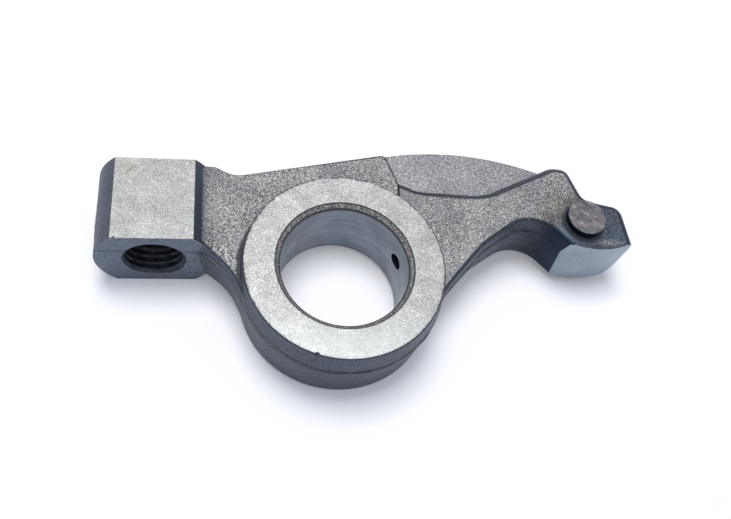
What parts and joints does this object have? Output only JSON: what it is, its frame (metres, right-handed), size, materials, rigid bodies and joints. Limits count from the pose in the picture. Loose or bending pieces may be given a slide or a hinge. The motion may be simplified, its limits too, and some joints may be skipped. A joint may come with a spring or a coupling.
{
  "type": "engine rocker arm",
  "caption": "Cast rocker arm that turns on a shaft bore, with a tapped boss for an adjusting screw on the short end and a curved slipper pad on the long end.",
  "frame": {"origin": "centre of the shaft bore, half-way along it", "axes": "+Z along the shaft bore, towards the side with the gate stub; +X towards the slipper pad; +Y towards the lock-nut end of the tapped boss"},
  "size_m": [0.0706, 0.0324, 0.0108],
  "materials": {
    "cast_steel": "shot-blasted casting with ground bosses and pad"
  },
  "bodies": {
    "root": {"rocker_arm": "cast_steel"}
  },
  "joints": []
}
